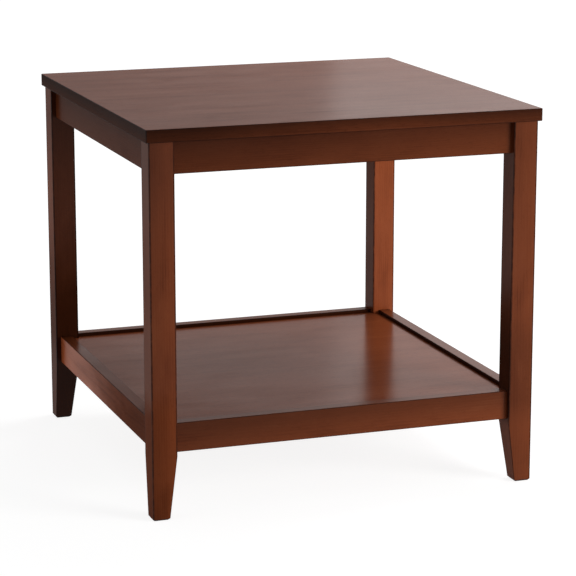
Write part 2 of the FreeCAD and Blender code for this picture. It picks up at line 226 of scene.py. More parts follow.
# Where across a growth ring the late wood builds up and stops, and the share of pores it has
LATE_WOOD_BUILDS, LATE_WOOD_STOPS, LATE_WOOD_PORES = (0.25, 0.90), (1.0, 0.94), 0.35
PORE_EDGE = (0.60, 0.72)

# The tones over which the stain goes from dark to middle, and on to light
DARK_TO_MIDDLE, MIDDLE_TO_LIGHT = (0.02, 0.50), (0.50, 0.98)

# Where the arris colour is patchy: from where to where on its noise it weakens, and its share
# at each
ARRIS_PATCHES = (0.40, 0.68, 0.95, 0.55)

# What the marks of the wood do to the lacquer, to the roughness and to the relief
PORE_COAT_LOSS, PATCH_COAT = 0.35, (0.2, 0.8, 0.88, 1.0)
FIBRE_ROUGHNESS, PORE_ROUGHNESS = 0.16, 0.12
FIBRE_RELIEF, PORE_RELIEF, STREAK_RELIEF = 0.30, 0.9, 0.25


def marks_of(tree, board, look):
    """The late wood, streaks, fibres and pores of a board, and the patches that stain takes in."""
    # Growth rings lie round a pith that is outside the board and wanders along it. The late wood
    # of a ring builds up slowly and stops at once, and has fewer pores
    wander = tree.drawn_out(board, along=1.2, across=9, detail=3.0, roughness=0.55)
    across = tree.turned(board, rotation=(0, 0.020, 0.012), scale=(0.0, 1.0, 1.0))
    radius = tree.node("ShaderNodeVectorMath", {"operation": "LENGTH"}, {0: across}, output=1)
    band = (radius / look.ring + wander * look.wavy).math("FRACT")
    late = tree.step(band, *LATE_WOOD_BUILDS) * tree.step(band, *LATE_WOOD_STOPS)

    streak = tree.drawn_out(board, along=1.6, across=46, detail=4.0, roughness=0.60)
    fine = tree.drawn_out(board, along=26, across=900, detail=3.0, roughness=0.62)
    speck = tree.drawn_out(board, along=120, across=2300, detail=1.0)
    pore = tree.step(speck, *PORE_EDGE) * tree.step(late, 0.9, 0.1, LATE_WOOD_PORES, 1.0)
    patch = tree.drawn_out(board, along=9, across=22, detail=2.0, distortion=0.6)
    return SimpleNamespace(late=late, streak=streak, fine=fine, pore=pore, patch=patch)


def stained(tree, marks, end_face, look):
    """The colour of the stained wood. Stain is dark in the pores, and end grain drinks more."""
    dark, middle, light = [colour(shade, look.depth) for shade in look.shades]
    tone = 0.5 + (marks.streak - 0.5) * (5.0 * look.figure) + (marks.patch - 0.5) * look.mottle
    tone = tone - marks.late * look.figure + (marks.fine - 0.5) * look.fibre * 2.0
    low = tree.blend(tree.step(tone, *DARK_TO_MIDDLE), dark, middle)
    shade = tree.blend(tree.step(tone, *MIDDLE_TO_LIGHT), low, light)
    in_pores = colour(look.shades[0], PORE_DEPTH * look.depth)
    on_ends = colour(look.shades[0], END_GRAIN_DEPTH * look.depth)
    pored = tree.blend(marks.pore * look.pores, shade, in_pores)
    return tree.blend(end_face * END_GRAIN_SHARE, pored, on_ends)


def arris_of(tree, spot, faces, post):
    """Where the eased arrises are, which face no one way, and on a post a thin strip beside it."""
    flatness = abs(faces[X]).math("MAXIMUM", abs(faces[Y])).math("MAXIMUM", abs(faces[Z]))
    arris = tree.step(flatness, *ON_AN_ARRIS)
    if post:
        off_middle = [abs(abs(spot[axis]) - post) for axis in (X, Y)]
        near = tree.step(off_middle[X].math("MINIMUM", off_middle[Y]), *ARRIS_STRIP)
        arris = arris.math("MAXIMUM", near)
    return arris


def faded(tree, share, fades, spot, patch):
    """A share of colour or lacquer after its fades of painted light, shade and sheen, whose edges
    are uneven.
    """
    for axis, start, end, first_share, last_share in fades:
        uneven = (patch - 0.5) * (FADE_UNEVENNESS * (end - start))
        share = tree.step(spot[axis] + uneven, start, end, first_share, last_share) * share
    return share


def inner_share(tree, spot, faces, axis, share):
    """The share of colour on the faces that look inwards along an axis, and 1 on the rest. Below 1
    it paints shade on them, and above 1 light.
    """
    return tree.step(spot[axis] * faces[axis], *INNER_SIDE) * (share - 1.0) + 1.0


def wood(name, grain, **changes):
    """Wood cut from a log and finished. The grain angles turn the board so that its fibres run
    along X. The changes are those of this piece to the look of plain stained wood."""
    look = SimpleNamespace(**{**WOOD, **changes})
    material, tree = new_material(name)
    coordinates = tree.node("ShaderNodeTexCoord").output.node
    place = Socket(tree, coordinates.outputs["Object"])
    facing = Socket(tree, coordinates.outputs["Normal"])
    spot, faces = tree.parts(place), tree.parts(facing)
    upward = tree.step(faces[Z], *FACES_UP)
    board = tree.turned(place, grain, location=look.pith)
    if look.veneer:
        sheet = tree.turned(place, look.veneer, location=look.pith)
        settings = {"data_type": "VECTOR"}
        board = tree.node("ShaderNodeMix", settings, {0: upward, 4: board, 5: sheet}, output=1)
    marks = marks_of(tree, board, look)
    settings = {"rotation_type": "EULER_XYZ"}
    along = tree.node("ShaderNodeVectorRotate", settings, {"Vector": facing, "Rotation": grain})
    end_face = tree.step(abs(tree.parts(along)[X]), *ACROSS_GRAIN)

    # An arris has its own colour, patchy here and there, and its own lacquer. On stained wood that
    # colour is a dark painted shade
    arris = arris_of(tree, spot, faces, look.post)
    arris_noise = tree.drawn_out(place, along=60, across=60, detail=3.0, roughness=0.6)
    arris_share = arris * tree.step(arris_noise, *ARRIS_PATCHES)
    finished = stained(tree, marks, end_face, look)
    finished = tree.blend(arris_share, finished, colour(look.edge, look.depth))
    if look.side_depth != 1.0:
        deep = tree.blend(1.0, finished, colour((look.side_depth,) * 3), "MULTIPLY")
        finished = tree.blend(upward, deep, finished)

    # The share of the colour and of the lacquer at each place, with its painted light, shade and
    # sheen
    share = on_faces = 1.0
    if look.fades:
        share = faded(tree, share, look.fades, spot, marks.patch) * (1.0 - upward) + upward
    if look.inner_x != WOOD["inner_x"]:
        foot, low, high = look.inner_x
        level = tree.step(spot[Z], *LEG_LOW_TO_HIGH, low, high)
        level = tree.step(spot[Z], *FOOT_TOP) * (level - foot) + foot
        share = inner_share(tree, spot, faces, X, level) * share
    if look.inner_y != 1.0:
        share = inner_share(tree, spot, faces, Y, look.inner_y) * share
    if look.side_coat != 1.0:
        on_faces = upward * (1.0 - look.side_coat) + look.side_coat
    on_faces = faded(tree, on_faces, look.coat_fades, spot, marks.patch)
    if look.side_coat_fades:
        on_sides = faded(tree, 1.0, look.side_coat_fades, spot, marks.patch)
        on_faces = (on_sides * (1.0 - upward) + upward) * on_faces
    # Painted shade, with a duller sheen, on an upper face beside the rails or legs
    if look.tucked:
        rim = tree.step(spot[X].math("MAXIMUM", abs(spot[Y])), *look.tucked) * upward
        share = (1.0 - rim * RIM_COLOUR_LOSS) * share
        on_faces = (1.0 - rim * RIM_COAT_LOSS) * on_faces
    if look.under_coat != 1.0:
        on_faces = on_faces * tree.step(faces[Z], *FACES_DOWN, look.under_coat, 1.0)
    if isinstance(share, Socket):
        settings = {"operation": "SCALE"}
        finished = tree.node("ShaderNodeVectorMath", settings, {"Vector": finished, "Scale": share})

    fine, pore = marks.fine, marks.pore
    gloss = look.coat * (1.0 - pore * PORE_COAT_LOSS) * tree.step(marks.patch, *PATCH_COAT)
    gloss = gloss * on_faces
    height = (fine - 0.5) * FIBRE_RELIEF - pore * PORE_RELIEF
    height = height + (marks.streak - 0.5) * STREAK_RELIEF
    relief = {"Strength": 0.35, "Distance": 0.12 * MM, "Height": height}
    shader = tree.node("ShaderNodeBsdfPrincipled", (), {
        "Base Color": finished,
        "Roughness": look.rough + (fine - 0.5) * FIBRE_ROUGHNESS + pore * PORE_ROUGHNESS,
        "Specular IOR Level": 0.0,
        "Coat Weight": gloss * (1.0 - arris) + arris * look.edge_coat,
        "Coat Roughness": look.coat_rough,
        "Coat IOR": 1.5,
        "Normal": tree.node("ShaderNodeBump", (), relief),
    })
    finish_surface(tree, shader)
    return material


POST = {"post": 281 * MM, "coat": 0.145}
# Painted shade at the top of a leg, under the tabletop
DARKER_AT_TOP = (Z, 0.38, 0.56, 1.0, 0.80)
# A leg's outer face, which a fade paints paler, as light
PALER_OUTER_FACE = (X, -0.3005, -0.2975)
# Each leg's fades paint light and shade in bands along it and across its faces, and its lacquer
# fades paint a stronger or weaker sheen. Inner faces are painted darker, as shade, but paler, as
# light, at the front right foot and on the back right leg's front face. The back left leg is
# painted darker all over, as shade, and the back right one paler, as light.
LEG_LOOKS = {
    "front_left": {
        "fades": (
            (X, -0.302, -0.262, 0.84, 1.16), (*PALER_OUTER_FACE, 1.18, 1.0),
            (Z, 0.37, 0.56, 1.0, 0.64),
        ),
        "coat_fades": (
            (Z, 0.145, 0.205, 0.38, 1.18), (Z, 0.22, 0.30, 1.0, 0.87),
            (Z, 0.34, 0.50, 1.0, 1.30),
        ),
    },
    "front_right": {
        "pith": (0.2, 0.07, 0.05), "inner_x": (1.3, 0.44, 0.85),
        "fades": (
            (X, 0.262, 0.302, 0.90, 1.06), (Z, 0.085, 0.135, 1.0, 0.74),
            (Z, 0.20, 0.28, 1.0, 1.35), DARKER_AT_TOP,
        ),
    },
    "back_left": {
        "pith": (0.1, 0.11, 0.05), "depth": 0.72, "inner_x": (0.7, 0.7, 0.7), "inner_y": 0.50,
        "fades": (
            (*PALER_OUTER_FACE, 1.30, 1.0), (Z, 0.16, 0.36, 0.62, 1.36),
            (Z, 0.39, 0.52, 1.0, 0.66),
        ),
        "coat_fades": ((Z, 0.20, 0.36, 0.70, 1.12), (Z, 0.10, 0.15, 1.5, 1.0)),
    },
    "back_right": {
        "pith": (0.3, -0.07, 0.06), "depth": 1.15, "inner_x": (0.65, 0.65, 0.65),
        "inner_y": 1.75,
        "coat_fades": ((Z, 0.26, 0.49, 1.20, 0.52),),
    },
}
for corner, leg_look in LEG_LOOKS.items():
    give(wood("stained_hardwood_" + corner, UPRIGHT, **POST, **leg_look), "leg_" + corner)


# Aprons. Four stained boards on edge under the top, set back from the legs' outer faces, with the
# grain running from leg to leg. Each end is fixed to its leg with two glued dowels. They are
# painted darker towards the upper edge, in the corner under the top, and towards the left, as
# shade, and paler towards the lower edge, as light. The side aprons are painted darker, as shade on
# their outer faces.

SIDEWAYS = (0, 0, 0)
FRONT_TO_BACK = (0, 0, -math.pi / 2)
# Painted shade towards the upper edge, under the tabletop, and painted light towards the lower edge
DARKER_UNDER_TOP = (Z, 0.505, 0.560, 1.32, 0.76)
# Painted shade towards the left
DARKER_TO_LEFT = (X, -0.26, 0.20, 0.76, 1.03)
APRON_LOOK = {"coat": 0.11, "depth": 0.62, "fades": (DARKER_UNDER_TOP, DARKER_TO_LEFT)}
# The side aprons are painted darker, as shade on their outer faces
SIDE_APRON_LOOK = {"coat": 0.11, "depth": 0.50, "fades": (DARKER_UNDER_TOP,)}
give(wood("apron_across", SIDEWAYS, **APRON_LOOK), "apron_front", "apron_back")
give(wood("apron_deep", FRONT_TO_BACK, **SIDE_APRON_LOOK), "apron_left", "apron_right")


# Apron dowels. Turned beech pins with fluted sides and chamfered ends, two at each joint. The
# flutes let the glue and the air past. They lie hidden in the legs and the aprons.

MERGE = 0.001 * MM
END_DEPTH = 0.1 * MM


def islands(name):
    """The corners of each loose part of a CAD node."""
    merged = bmesh.new()
    merged.from_mesh(nodes[name].data)
    bmesh.ops.remove_doubles(merged, verts=merged.verts, dist=MERGE)
    merged.verts.index_update()
    found = set()
    for first in merged.verts:
        if first.index in found:
            continue
        found.add(first.index)
        island = [first]
        for corner in island:
            for edge in corner.link_edges:
                other = edge.other_vert(corner)
                if other.index not in found:
                    found.add(other.index)
                    island.append(other)
        yield np.array([corner.co for corner in island])
    merged.free()


def seats(name, flat=False):
    """Where each turned part of a CAD node starts, and its direction. A rod starts at its thicker
    end, and a flat part, such as a washer, at either face."""
    for island in islands(name):
        middle = (island.min(axis=0) + island.max(axis=0)) / 2
        axes = np.linalg.svd(island - island.mean(axis=0), full_matrices=False)[2]
        axis = axes[2 if flat else 0]
        axis = np.round(axis / np.abs(axis).max(), 1)
        axis /= np.linalg.norm(axis)
        along = (island - middle) @ axis
        off_axis = np.linalg.norm(island - middle - np.outer(along, axis), axis=1)
        first = off_axis[along < along.min() + END_DEPTH].max()
        last = off_axis[along > along.max() - END_DEPTH].max()
        if first < last - END_DEPTH:
            axis, along = -axis, -along
        yield middle + axis * along.min(), axis


def new_maker(name, sizes):
    """A Geometry Nodes tree whose inputs are a cloud of places and these named sizes."""
    made = bpy.data.node_groups.new(name, "GeometryNodeTree")
    made.interface.new_socket("Made", in_out="OUTPUT", socket_type="NodeSocketGeometry")
    made.interface.new_socket("Places", in_out="INPUT", socket_type="NodeSocketGeometry")
    for size in sizes:
        made.interface.new_socket(size, in_out="INPUT", socket_type="NodeSocketFloat")
    tree = Tree(made)
    given = tree.node("NodeGroupInput").output.node.outputs
    return tree, Socket(tree, given["Places"]), [Socket(tree, given[size]) for size in sizes]


def flat_place(tree, rows):
    """The row's number and the angle at a point of the flat grid that a part is rolled from."""
    sideways, upwards, _ = tree.parts(tree.node("GeometryNodeInputPosition"))
    return (upwards + rows / 2).math("ROUND"), sideways + math.pi


def rolled(tree, sides, rows, radius, height):
    """A grid of rows rolled into a tube round Z."""
    _, angle = flat_place(tree, rows)
    size = {"Size X": 2 * math.pi, "Size Y": rows, "Vertices X": sides + 1, "Vertices Y": rows + 1}
    grid = tree.node("GeometryNodeMeshGrid", (), size)
    spot = {0: angle.math("COSINE") * radius, 1: angle.math("SINE") * radius, 2: height}
    inputs = {"Geometry": grid, "Position": tree.node("ShaderNodeCombineXYZ", (), spot)}
    return tree.node("GeometryNodeSetPosition", (), inputs)


def stepped(row, values):
    """The value that belongs to each row."""
    value = values[0]
    for number, (before, after) in enumerate(zip(values, values[1:])):
        value = row.math("GREATER_THAN", number + 0.5) * (after - before) + value
    return value


def turned_part(tree, sides, outline, shape=1.0):
    """A turned length, from the heights and radii of its outline. Shape multiplies the radii."""
    rows = len(outline) - 1
    row, _ = flat_place(tree, rows)
    heights, radii = zip(*outline)
    return rolled(tree, sides, rows, stepped(row, radii) * shape, stepped(row, heights))


def closed(tree, *parts):
    """Joins turned parts, and closes their seams and ends."""
    joined = tree.node("GeometryNodeJoinGeometry")
    for part in parts:
        tree.made.links.new(part.output, joined.output.node.inputs[0])
    return tree.node("GeometryNodeMergeByDistance", (), {"Geometry": joined, "Distance": MERGE})


TURN_SEED = 4


def set_out(tree, places, part, material, flats_up=False):
    """Puts a part at every place, along the place's direction, and ends the tree. Its turn on its
    axis is random, or has the flats facing up."""
    settings = {"data_type": "FLOAT_VECTOR"}
    direction = tree.node("GeometryNodeInputNamedAttribute", settings, {"Name": "direction"})
    rotation = tree.node("FunctionNodeAlignRotationToVector", {"axis": "Z"}, {"Vector": direction})
    if flats_up:
        settings = {"axis": "X", "pivot_axis": "Z"}
        inputs = {"Rotation": rotation, "Vector": (0, 0, 1)}
        rotation = tree.node("FunctionNodeAlignRotationToVector", settings, inputs)
    else:
        settings, inputs = {"data_type": "FLOAT"}, {2: 0.0, 3: 2 * math.pi, "Seed": TURN_SEED}
        angle = tree.node("FunctionNodeRandomValue", settings, inputs, output=1)
        roll = tree.node("FunctionNodeAxisAngleToRotation", (), {"Axis": (0, 0, 1), "Angle": angle})
        settings, inputs = {"rotation_space": "LOCAL"}, {"Rotation": rotation, "Rotate By": roll}
        rotation = tree.node("FunctionNodeRotateRotation", settings, inputs)
    inputs = {"Points": places, "Instance": part, "Rotation": rotation}
    copies = tree.node("GeometryNodeInstanceOnPoints", (), inputs)
    real = tree.node("GeometryNodeRealizeInstances", (), {"Geometry": copies})
    covered = tree.node("GeometryNodeSetMaterial", (), {"Geometry": real, "Material": material})
    tree.node("NodeGroupOutput", (), {0: covered})
    return tree.made


SHARP_ANGLE = math.radians(32)


def make_from(name, maker, places, sizes):
    """Runs a tree on a cloud of places. The plain mesh that it makes stands for the CAD node."""
    places = list(places)
    cloud = bpy.data.meshes.new(name)
    cloud.from_pydata([place for place, direction in places], [], [])
    directions = np.array([direction for place, direction in places], dtype="float32")
    field = cloud.attributes.new("direction", "FLOAT_VECTOR", "POINT")
    field.data.foreach_set("vector", directions.ravel())
    piece = bpy.data.objects.new(name + "_made", cloud)
    bpy.context.scene.collection.objects.link(piece)
    modifier = piece.modifiers.new("maker", "NODES")
    modifier.node_group = maker
    for item in maker.interface.items_tree:
        if item.name in sizes:
            modifier[item.identifier] = sizes[item.name]
    evaluated = piece.evaluated_get(bpy.context.evaluated_depsgraph_get())
    mesh = bpy.data.meshes.new_from_object(evaluated)
    metal_or_wood = [material for material in mesh.materials if material]
    mesh.materials.clear()
    mesh.materials.append(metal_or_wood[0])
    mesh.polygons.foreach_set("material_index", np.zeros(len(mesh.polygons), dtype="int32"))
    piece.modifiers.remove(modifier)
    piece.data = mesh
    mesh.attributes.remove(mesh.attributes["direction"])
    mesh.shade_smooth()
    mesh.set_sharp_from_angle(angle=SHARP_ANGLE)
    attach(piece, "root")
    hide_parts(name)


# Each pin's own frame, with its length along Z, is kept for the grain
PIN_PLACE = "pin_place"
FLUTES = 24
BEECH_DARK, BEECH_LIGHT = colour((0.50, 0.33, 0.19)), colour((0.70, 0.52, 0.34))
BEECH_FLECK = colour((0.38, 0.22, 0.11))
beech, tree = new_material("bare_beech")
pin_place = tree.node("ShaderNodeAttribute", {"attribute_name": PIN_PLACE}, (), output=1)
fibres = tree.turned(pin_place, scale=(1400, 1400, 60))
fibres = tree.noise(fibres, scale=1.0, detail=3.0, roughness=0.6)
flecks = tree.noise(tree.turned(pin_place, scale=(1500, 500, 220)), scale=1.0, detail=1.0)
tinge = tree.noise(tree.turned(pin_place, scale=(90, 90, 25)), scale=1.0)
tone = 0.5 + (fibres - 0.5) * 0.8 + (tinge - 0.5) * 0.9
beech_colour = tree.blend(tree.step(tone, 0.1, 0.9), BEECH_DARK, BEECH_LIGHT)
beech_colour = tree.blend(tree.step(flecks, 0.62, 0.70) * 0.55, beech_colour, BEECH_FLECK)
relief = {"Strength": 0.4, "Distance": 0.1 * MM, "Height": fibres}
finish_surface(tree, tree.node("ShaderNodeBsdfPrincipled", (), {
    "Base Color": beech_colour,
    "Roughness": 0.62 + (fibres - 0.5) * 0.2,
    "Normal": tree.node("ShaderNodeBump", (), relief),
}))

tree, places, sizes = new_maker("dowel_pin", ("Length", "Diameter", "Chamfer", "Flute share"))
length, diameter, chamfer, flute_share = sizes
outline = [
    (0.0, 0.0), (0.0, diameter / 2 - chamfer), (chamfer, diameter / 2),
    (length - chamfer, diameter / 2), (length, diameter / 2 - chamfer), (length, 0.0),
]
_, angle = flat_place(tree, len(outline) - 1)
fluted = 1.0 - (1.0 - (angle * FLUTES).math("COSINE")) * 0.5 * flute_share
pin = closed(tree, turned_part(tree, 2 * FLUTES, outline, fluted))
settings, inputs = {"data_type": "FLOAT_VECTOR"}, {"Geometry": pin, "Name": PIN_PLACE}
inputs["Value"] = tree.node("GeometryNodeInputPosition")
pin = tree.node("GeometryNodeStoreNamedAttribute", settings, inputs)
dowel_maker = set_out(tree, places, pin, beech)
DOWEL_SIZES = {"Length": 26.0 * MM, "Diameter": 8.0 * MM, "Chamfer": 0.8 * MM, "Flute share": 0.06}
make_from("apron_dowels", dowel_maker, seats("apron_dowels"), DOWEL_SIZES)


# Lower rails. Four boards like the aprons, low down between the legs, round the shelf. All their
# long edges are eased. Two dowels, one above the other, fix each end. They are painted darker
# towards the upper edge and on the inner faces, and the front and back rails towards the left, as
# shade. The left rail is painted paler towards the back, as light, with a stronger painted sheen
# there, and darker beside the legs, as shade.

# Painted shade towards the upper edge, and painted light towards the lower edge
DARKER_ABOVE = (Z, 0.096, 0.146, 1.16, 0.66)
# The inner faces are painted darker, as shade
RAIL_LOOK = {
    "coat": 0.38, "side_coat": 0.40, "inner_x": (0.35, 0.35, 0.35), "inner_y": 0.35,
    "fades": (DARKER_ABOVE,),
}
CROSS_RAIL_LOOK = {**RAIL_LOOK, "fades": (DARKER_ABOVE, DARKER_TO_LEFT)}
RIGHT_RAIL_LOOK = {**RAIL_LOOK, "coat": 0.46, "side_coat": 0.33}
# The left rail's fades paint light towards the lower edge and the back, and shade beside the back
# leg, and its lacquer fades a stronger sheen towards the back. Its top takes painted shade beside
# the legs.
LEFT_RAIL_LOOK = {
    **RAIL_LOOK, "coat": 0.31, "side_coat": 0.60, "tucked": (0.16, 0.30),
    "fades": (
        (Z, 0.096, 0.146, 1.18, 1.03), (Y, -0.22, 0.27, 0.72, 2.45),
        (Y, 0.225, 0.265, 1.0, 0.66),
    ),
    "coat_fades": ((Y, -0.20, 0.27, 0.72, 1.30),),
    "side_coat_fades": ((Y, -0.16, 0.14, 0.39, 1.36),),
}
give(wood("rail_across", SIDEWAYS, **CROSS_RAIL_LOOK), "lower_rail_front", "lower_rail_back")
give(wood("rail_deep_right", FRONT_TO_BACK, **RIGHT_RAIL_LOOK), "lower_rail_right")
give(wood("rail_deep_left", FRONT_TO_BACK, **LEFT_RAIL_LOOK), "lower_rail_left")
make_from("rail_dowels", dowel_maker, seats("rail_dowels"), DOWEL_SIZES)


# Corner blocks. Four triangular blocks of unstained hardwood across the inside corners of the
# aprons, sawn along the grain of their long face, and sealed. Two screws hold each to its aprons.

BARE = ((0.30, 0.15, 0.070), (0.42, 0.235, 0.120), (0.54, 0.335, 0.190))
BARE_LOOK = {
    "shades": BARE, "edge": (0.50, 0.31, 0.18), "coat": 0.05, "edge_coat": 0.05, "rough": 0.6,
    "figure": 0.2, "fibre": 0.16,
}
rising = wood("bare_hardwood_rising", (0, 0, -math.pi / 4), **BARE_LOOK)
falling = wood("bare_hardwood_falling", (0, 0, math.pi / 4), **BARE_LOOK)
give(falling, "corner_block_front_left", "corner_block_back_right")
give(rising, "corner_block_front_right", "corner_block_back_left")


# Wood screws. Countersunk steel screws with a slotted head, a plain neck and a rolled thread that
# runs to the point, in a yellow zinc plating. These fix the corner blocks to the aprons.

ROWS_PER_TURN = 4
SCRATCH_ANGLES = (0.4, 0.7, 0.2)


def plated_metal(name, bright, dull, rough):
    """Plated steel with faint spangles, and fine scratches of handling."""
    material, tree = new_material(name)
    place = Socket(tree, tree.node("ShaderNodeTexCoord").output.node.outputs["Object"])
    spangle = tree.noise(place, scale=700.0, detail=2.0, roughness=0.55, distortion=0.4)
    scratched = tree.turned(place, rotation=SCRATCH_ANGLES, scale=(300, 4200, 4200))
    scratch = tree.noise(scratched, scale=1.0, detail=2.0, roughness=0.6)
    cloud = tree.noise(place, scale=160.0, detail=3.0, roughness=0.6)
    tone = spangle * 0.55 + cloud * 0.45
    relief = {"Strength": 0.25, "Distance": 0.03 * MM, "Height": scratch}
    finish_surface(tree, tree.node("ShaderNodeBsdfPrincipled", (), {
        "Base Color": tree.blend(tree.step(tone, 0.34, 0.66), colour(dull), colour(bright)),
        "Metallic": 1.0,
        "Roughness": rough + (cloud - 0.5) * 0.25 + (scratch - 0.5) * 0.15,
        "Normal": tree.node("ShaderNodeBump", (), relief),
    }))
    return material


def threaded_part(tree, sides, start, end, core, crest, pitch, tip=None):
    """A length with a helical thread. Each row runs up the helix, so the crest stays sharp. The
    thread fades in at the start. It fades out at the end, or runs down a tip to a point."""
    rows = ((end - start) / pitch).math("CEIL") * ROWS_PER_TURN + ROWS_PER_TURN
    row, angle = flat_place(tree, rows)
    height = start + (row / ROWS_PER_TURN - 1.0 + angle / (2 * math.pi)) * pitch
    height = height.math("MAXIMUM", start).math("MINIMUM", end)
    on_crest = row.math("MODULO", float(ROWS_PER_TURN)).math("COMPARE", 1.0, 0.1)
    fade = ((height - start) / pitch).math("MINIMUM", 1.0)
    if tip is None:
        fade = fade * ((end - height) / pitch).math("MINIMUM", 1.0)
    radius = core + on_crest * fade * (crest - core)
    if tip is not None:
        radius = radius * ((end - height) / tip).math("MINIMUM", 1.0)
    return rolled(tree, sides, rows, radius, height)


yellow_zinc = plated_metal("yellow_zinc", (0.72, 0.60, 0.33), (0.50, 0.44, 0.30), 0.30)
SCREW_SIZES = {
    "Diameter": 4.0 * MM, "Core diameter": 2.7 * MM, "Head diameter": 8.0 * MM,
    "Head height": 2.2 * MM, "Slot width": 1.0 * MM, "Slot depth": 0.8 * MM,
    "Pitch": 1.8 * MM, "Tip length": 3.0 * MM,
}
tree, places, sizes = new_maker("wood_screw", ("Length", "Neck length", *SCREW_SIZES))
length, neck, diameter, core, head, head_height, slot_width, slot_depth, pitch, tip = sizes
RIM = 0.1 * MM
SCREW_SIDES = 20
neck_end = head_height + neck
outline = [
    (0.0, 0.0), (0.0, head / 2 - 2.5 * RIM), (RIM, head / 2 - 1.2 * RIM),
    (head_height, diameter / 2), (neck_end - 5 * RIM, diameter / 2), (neck_end, core / 2),
]
shank = threaded_part(
    tree, SCREW_SIDES, neck_end, length, core / 2, diameter / 2, pitch, tip)
screw = closed(tree, turned_part(tree, SCREW_SIDES, outline), shank)
blade = tree.node("ShaderNodeCombineXYZ", (), {0: head * 2.0, 1: slot_width, 2: slot_depth * 2.0})
slot = tree.node("GeometryNodeMeshCube", (), {"Size": blade})
settings = {"operation": "DIFFERENCE", "solver": "MANIFOLD"}
screw = tree.node("GeometryNodeMeshBoolean", settings, {"Mesh 1": screw, "Mesh 2": slot})
screw_maker = set_out(tree, places, screw, yellow_zinc)


def drive_screws(name, length, neck):
    """Wood screws of a length, with their plain necks."""
    sizes = {**SCREW_SIZES, "Length": length, "Neck length": neck}
    make_from(name, screw_maker, seats(name), sizes)


drive_screws("corner_block_screws", 21.0 * MM, 5.0 * MM)


# Hanger bolts. A coarse wood thread holds each bolt in its leg, and its machine thread comes out
# through the corner block, where a washer and a hexagon nut pull the leg tight. All three are of
# zinc plated steel.

zinc = plated_metal("bright_zinc", (0.66, 0.67, 0.67), (0.50, 0.51, 0.52), 0.28)
BOLT_SIZES = {
    "Length": 60.47 * MM, "Diameter": 6.0 * MM, "Core diameter": 4.9 * MM, "Pitch": 1.0 * MM,
    "Machine length": 21.0 * MM, "Wood core diameter": 4.2 * MM, "Wood pitch": 2.5 * MM,
    "Wood length": 27.0 * MM, "Tip length": 6.0 * MM,
}
tree, places, sizes = new_maker("hanger_bolt", BOLT_SIZES)
length, diameter, core, pitch, machine_end, wood_core, wood_pitch, wood_length, tip = sizes
BLEND = 0.6 * MM
BOLT_SIDES = 24
NECK_TO_DIAMETER = 0.48
wood_start = length - wood_length
bolt_end = turned_part(tree, BOLT_SIDES, [(0.0, 0.0), (0.0, core / 2 - BLEND), (BLEND, core / 2)])
machine = threaded_part(tree, BOLT_SIDES, BLEND, machine_end, core / 2, diameter / 2, pitch)
neck = diameter * NECK_TO_DIAMETER
middle = turned_part(tree, BOLT_SIDES, [
    (machine_end, core / 2), (machine_end + BLEND, neck), (wood_start - BLEND, neck),
    (wood_start, wood_core / 2),
])
point = threaded_part(
    tree, BOLT_SIDES, wood_start, length, wood_core / 2, diameter / 2, wood_pitch, tip)
bolt_maker = set_out(tree, places, closed(tree, bolt_end, machine, middle, point), zinc)
make_from("hanger_bolts", bolt_maker, seats("hanger_bolts"), BOLT_SIZES)

WASHER_SIZES = {
    "Diameter": 14.0 * MM, "Hole diameter": 6.4 * MM, "Thickness": 1.6 * MM, "Rounding": 0.25 * MM,
}
WASHER_SIDES = 40
tree, places, sizes = new_maker("washer", WASHER_SIZES)
diameter, hole, thick, rounding = sizes
outline = [
    (0.0, hole / 2), (0.0, diameter / 2 - rounding), (rounding, diameter / 2),
    (thick - rounding, diameter / 2), (thick, diameter / 2 - rounding), (thick, hole / 2),
    (0.0, hole / 2),
]
washer = closed(tree, turned_part(tree, WASHER_SIDES, outline))
washer_maker = set_out(tree, places, washer, zinc)
washer_seats = seats("hanger_bolt_washers", flat=True)
make_from("hanger_bolt_washers", washer_maker, washer_seats, WASHER_SIZES)

NUT_SIZES = {
    "Across flats": 10.0 * MM, "Height": 5.0 * MM, "Hole diameter": 6.1 * MM, "Chamfer": 0.4 * MM,
}
NUT_SIDES = 36
SIXTH = math.pi / 3
NUT_ROWS = 8
CIRCLE_TO_FLATS = 0.475
CHAMFER_ANGLE = math.radians(30)
tree, places, sizes = new_maker("hexagon_nut", NUT_SIZES)
flats, height, hole, chamfer = sizes
_, angle = flat_place(tree, NUT_ROWS)
from_flat = (angle + SIXTH / 2).math("MODULO", SIXTH) - SIXTH / 2
hexagon = flats / 2 / from_flat.math("COSINE")
face_circle = flats * CIRCLE_TO_FLATS
slope = (hexagon - face_circle) * math.tan(CHAMFER_ANGLE)
outline = [
    (0.0, hole / 2 + chamfer), (0.0, face_circle), (slope, hexagon), (height - slope, hexagon),
    (height, face_circle), (height, hole / 2 + chamfer), (height - chamfer, hole / 2),
    (chamfer, hole / 2), (0.0, hole / 2 + chamfer),
]
nut = closed(tree, turned_part(tree, NUT_SIDES, outline))
nut_maker = set_out(tree, places, nut, zinc, flats_up=True)
nut_seats = seats("hanger_bolt_nuts", flat=True)
make_from("hanger_bolt_nuts", nut_maker, nut_seats, NUT_SIZES)


# Shelf cleats. Four strips of unstained hardwood screwed to the inner faces of the lower rails,
# three screws each, to carry the shelf.

bare_across = wood("bare_hardwood_across", SIDEWAYS, **BARE_LOOK)
bare_deep = wood("bare_hardwood_deep", FRONT_TO_BACK, **BARE_LOOK)
give(bare_across, "shelf_cleat_front", "shelf_cleat_back")
give(bare_deep, "shelf_cleat_left", "shelf_cleat_right")
drive_screws("cleat_screws", 28.0 * MM, 9.0 * MM)


# Shelf. A veneered panel, notched round the legs, that lies on the cleats a little below the top
# edges of the rails. Its face is lacquered to a gloss. It is painted paler, as light on it under
# the top, and has painted shade and a duller sheen in the corner along the front, back and right
# rails.
# Screws come up into it through the cleats.

